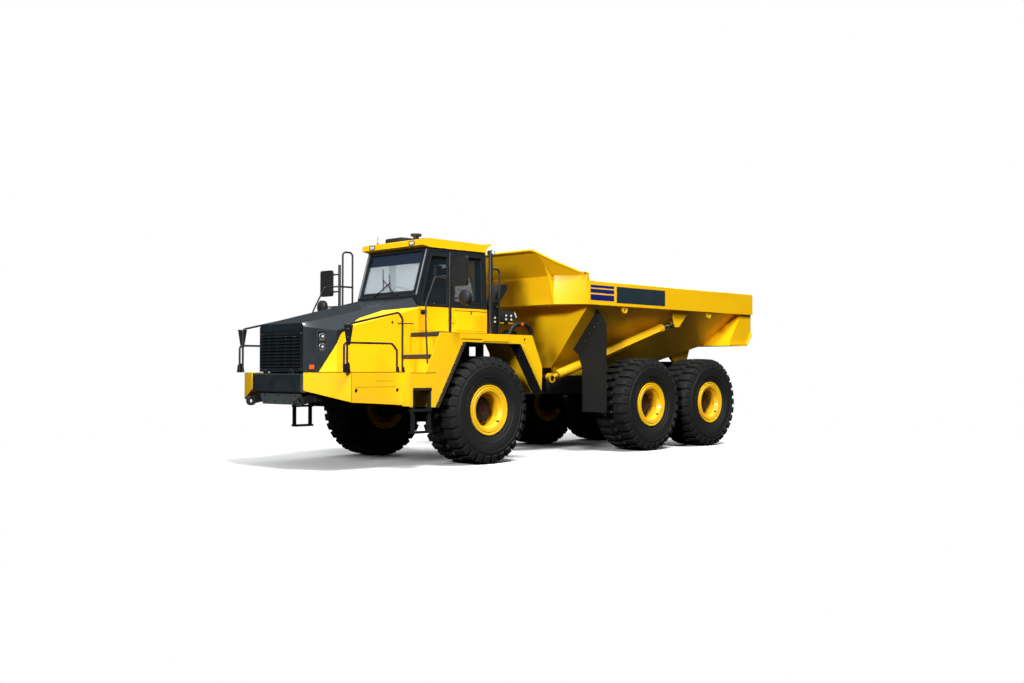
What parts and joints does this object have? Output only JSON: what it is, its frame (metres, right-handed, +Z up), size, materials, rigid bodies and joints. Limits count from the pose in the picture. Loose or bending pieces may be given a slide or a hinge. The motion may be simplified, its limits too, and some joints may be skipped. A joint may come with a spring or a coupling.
{
  "type": "articulated dump truck",
  "caption": "Articulated six-wheel-drive dump truck that steers at a hitch between its cab unit and its tipping-body unit, with a tipping body, tilting hood and opening cab door.",
  "frame": {"origin": "on the ground, below the middle of the truck's overall length and width", "axes": "+X forward, towards the hood; +Y towards the truck's left side; +Z up"},
  "size_m": [11.2449, 4.0698, 3.9048],
  "materials": {
    "yellow_paint": "satin",
    "slate_paint": "satin",
    "black_steel": "satin",
    "rubber": "matt",
    "black_plastic": "moulded",
    "seat_fabric": "woven",
    "glass": "clear",
    "lamp_lens": "clear",
    "amber_lens": "clear",
    "bare_steel": "machined",
    "cylinder_paint": "satin",
    "rod_chrome": "polished",
    "tyre": "matt",
    "rim_paint": "satin"
  },
  "bodies": {
    "front_unit": {"front_frame": "slate_paint", "front_axle": "slate_paint", "front_suspension": "slate_paint", "engine": "slate_paint", "radiator": "black_steel", "bumper": "slate_paint", "side_skirts": "yellow_paint", "fenders": "yellow_paint", "fender_flaps": "rubber", "ladders": "black_steel", "handrails": "black_steel", "mirrors": "black_plastic", "cab_shell": "yellow_paint", "cab_glass": "glass", "cab_roof": "yellow_paint", "work_lamps": "lamp_lens", "roof_unit": "black_plastic", "dashboard": "black_plastic", "steering_wheel": "black_plastic", "hoses": "rubber", "operator_seat": "seat_fabric", "rear_deck": "slate_paint", "exhaust": "black_steel"},
    "hood": {"hood_top": "slate_paint", "hood_sides": "yellow_paint", "grille": "black_steel", "headlamps": "lamp_lens", "signal_lamps": "amber_lens"},
    "door": {"cab_door": "yellow_paint", "door_glass": "glass"},
    "hitch": {"hitch": "slate_paint"},
    "rear_unit": {"rear_frame": "slate_paint", "middle_axle": "slate_paint", "rear_axle": "slate_paint", "equalizer_beams": "slate_paint", "bogie_shaft": "bare_steel"},
    "dump_body": {"dump_body": "yellow_paint", "mud_flaps": "rubber"},
    "steer_barrel_left": {"steer_barrel_left": "cylinder_paint"},
    "steer_rod_left": {"steer_rod_left": "rod_chrome"},
    "hoist_barrel_left": {"hoist_barrel_left": "cylinder_paint"},
    "hoist_rod_left": {"hoist_rod_left": "rod_chrome"},
    "steer_barrel_right": {"steer_barrel_right": "cylinder_paint"},
    "steer_rod_right": {"steer_rod_right": "rod_chrome"},
    "hoist_barrel_right": {"hoist_barrel_right": "cylinder_paint"},
    "hoist_rod_right": {"hoist_rod_right": "rod_chrome"},
    "wheel_front_left": {"tyre_front_left": "tyre", "rim_front_left": "rim_paint"},
    "wheel_front_right": {"tyre_front_right": "tyre", "rim_front_right": "rim_paint"},
    "wheel_middle_left": {"tyre_middle_left": "tyre", "rim_middle_left": "rim_paint"},
    "wheel_middle_right": {"tyre_middle_right": "tyre", "rim_middle_right": "rim_paint"},
    "wheel_rear_left": {"tyre_rear_left": "tyre", "rim_rear_left": "rim_paint"},
    "wheel_rear_right": {"tyre_rear_right": "tyre", "rim_rear_right": "rim_paint"}
  },
  "joints": [
    {"name": "articulation_steer", "type": "hinge", "parent": "front_unit", "child": "hitch", "pos_m": [1.0225, 0, 1.15], "axis": [0, 0, 1], "range_deg": [-45, 45]},
    {"name": "frame_oscillation", "type": "hinge", "parent": "hitch", "child": "rear_unit", "pos_m": [1.0225, 0, 1.15], "axis": [-1, 0, 0], "range_deg": [-15, 15]},
    {"name": "body_tip", "type": "hinge", "parent": "rear_unit", "child": "dump_body", "pos_m": [-4.3475, 0, 1.65], "axis": [0, -1, 0], "range_deg": [0, 70]},
    {"name": "hood_hinge", "type": "hinge", "parent": "front_unit", "child": "hood", "pos_m": [5.4675, 0, 1.535], "axis": [0, 1, 0], "range_deg": [0, 65]},
    {"name": "door_hinge", "type": "hinge", "parent": "front_unit", "child": "door", "pos_m": [2.5765, 0.815, 2.8], "axis": [0, 0, 1], "range_deg": [0, 85]},
    {"name": "wheel_front_left_spin", "type": "hinge", "parent": "front_unit", "child": "wheel_front_left", "pos_m": [2.5225, 1.345, 0.89], "axis": [0, 1, 0], "continuous": true},
    {"name": "wheel_front_right_spin", "type": "hinge", "parent": "front_unit", "child": "wheel_front_right", "pos_m": [2.5225, -1.345, 0.89], "axis": [0, 1, 0], "continuous": true},
    {"name": "wheel_middle_left_spin", "type": "hinge", "parent": "rear_unit", "child": "wheel_middle_left", "pos_m": [-1.8275, 1.345, 0.89], "axis": [0, 1, 0], "continuous": true},
    {"name": "wheel_middle_right_spin", "type": "hinge", "parent": "rear_unit", "child": "wheel_middle_right", "pos_m": [-1.8275, -1.345, 0.89], "axis": [0, 1, 0], "continuous": true},
    {"name": "wheel_rear_left_spin", "type": "hinge", "parent": "rear_unit", "child": "wheel_rear_left", "pos_m": [-3.7975, 1.345, 0.89], "axis": [0, 1, 0], "continuous": true},
    {"name": "wheel_rear_right_spin", "type": "hinge", "parent": "rear_unit", "child": "wheel_rear_right", "pos_m": [-3.7975, -1.345, 0.89], "axis": [0, 1, 0], "continuous": true},
    {"name": "hoist_barrel_left_swing", "type": "hinge", "parent": "rear_unit", "child": "hoist_barrel_left", "pos_m": [-0.0275, 0.7, 1.4], "axis": [0.3771, 0.2759, 0.8841], "range_deg": [0, 4.02]},
    {"name": "hoist_rod_left_slide", "type": "slide", "parent": "hoist_barrel_left", "child": "hoist_rod_left", "axis": [-0.9234, 0.1859, 0.3359], "range_m": [0, 1.78965]},
    {"name": "steer_barrel_left_swing", "type": "hinge", "parent": "front_unit", "child": "steer_barrel_left", "pos_m": [1.9225, 0.57, 1.166], "axis": [0, 0, 1], "range_deg": [-2.7, 2.7]},
    {"name": "steer_rod_left_slide", "type": "slide", "parent": "steer_barrel_left", "child": "steer_rod_left", "axis": [-0.9816, -0.1909, 0], "range_m": [-0.28142, 0.28142]},
    {"name": "hoist_barrel_right_swing", "type": "hinge", "parent": "rear_unit", "child": "hoist_barrel_right", "pos_m": [-0.0275, -0.7, 1.4], "axis": [-0.3771, 0.2759, -0.8841], "range_deg": [0, 4.02]},
    {"name": "hoist_rod_right_slide", "type": "slide", "parent": "hoist_barrel_right", "child": "hoist_rod_right", "axis": [-0.9234, -0.1859, 0.3359], "range_m": [0, 1.78965]},
    {"name": "steer_barrel_right_swing", "type": "hinge", "parent": "front_unit", "child": "steer_barrel_right", "pos_m": [1.9225, -0.57, 1.166], "axis": [0, 0, 1], "range_deg": [-2.7, 2.7]},
    {"name": "steer_rod_right_slide", "type": "slide", "parent": "steer_barrel_right", "child": "steer_rod_right", "axis": [-0.9816, 0.1909, 0], "range_m": [-0.28142, 0.28142]}
  ],
  "couplings": [
    {"joint": "hoist_barrel_left_swing", "follows": "body_tip", "ratio": 0.057194},
    {"joint": "hoist_rod_left_slide", "follows": "body_tip", "m_per_rad": 1.464},
    {"joint": "steer_barrel_left_swing", "follows": "articulation_steer", "ratio": 0.059648},
    {"joint": "steer_rod_left_slide", "follows": "articulation_steer", "m_per_rad": 0.35704},
    {"joint": "hoist_barrel_right_swing", "follows": "body_tip", "ratio": 0.057194},
    {"joint": "hoist_rod_right_slide", "follows": "body_tip", "m_per_rad": 1.464},
    {"joint": "steer_barrel_right_swing", "follows": "articulation_steer", "ratio": 0.059648},
    {"joint": "steer_rod_right_slide", "follows": "articulation_steer", "m_per_rad": -0.35704}
  ]
}
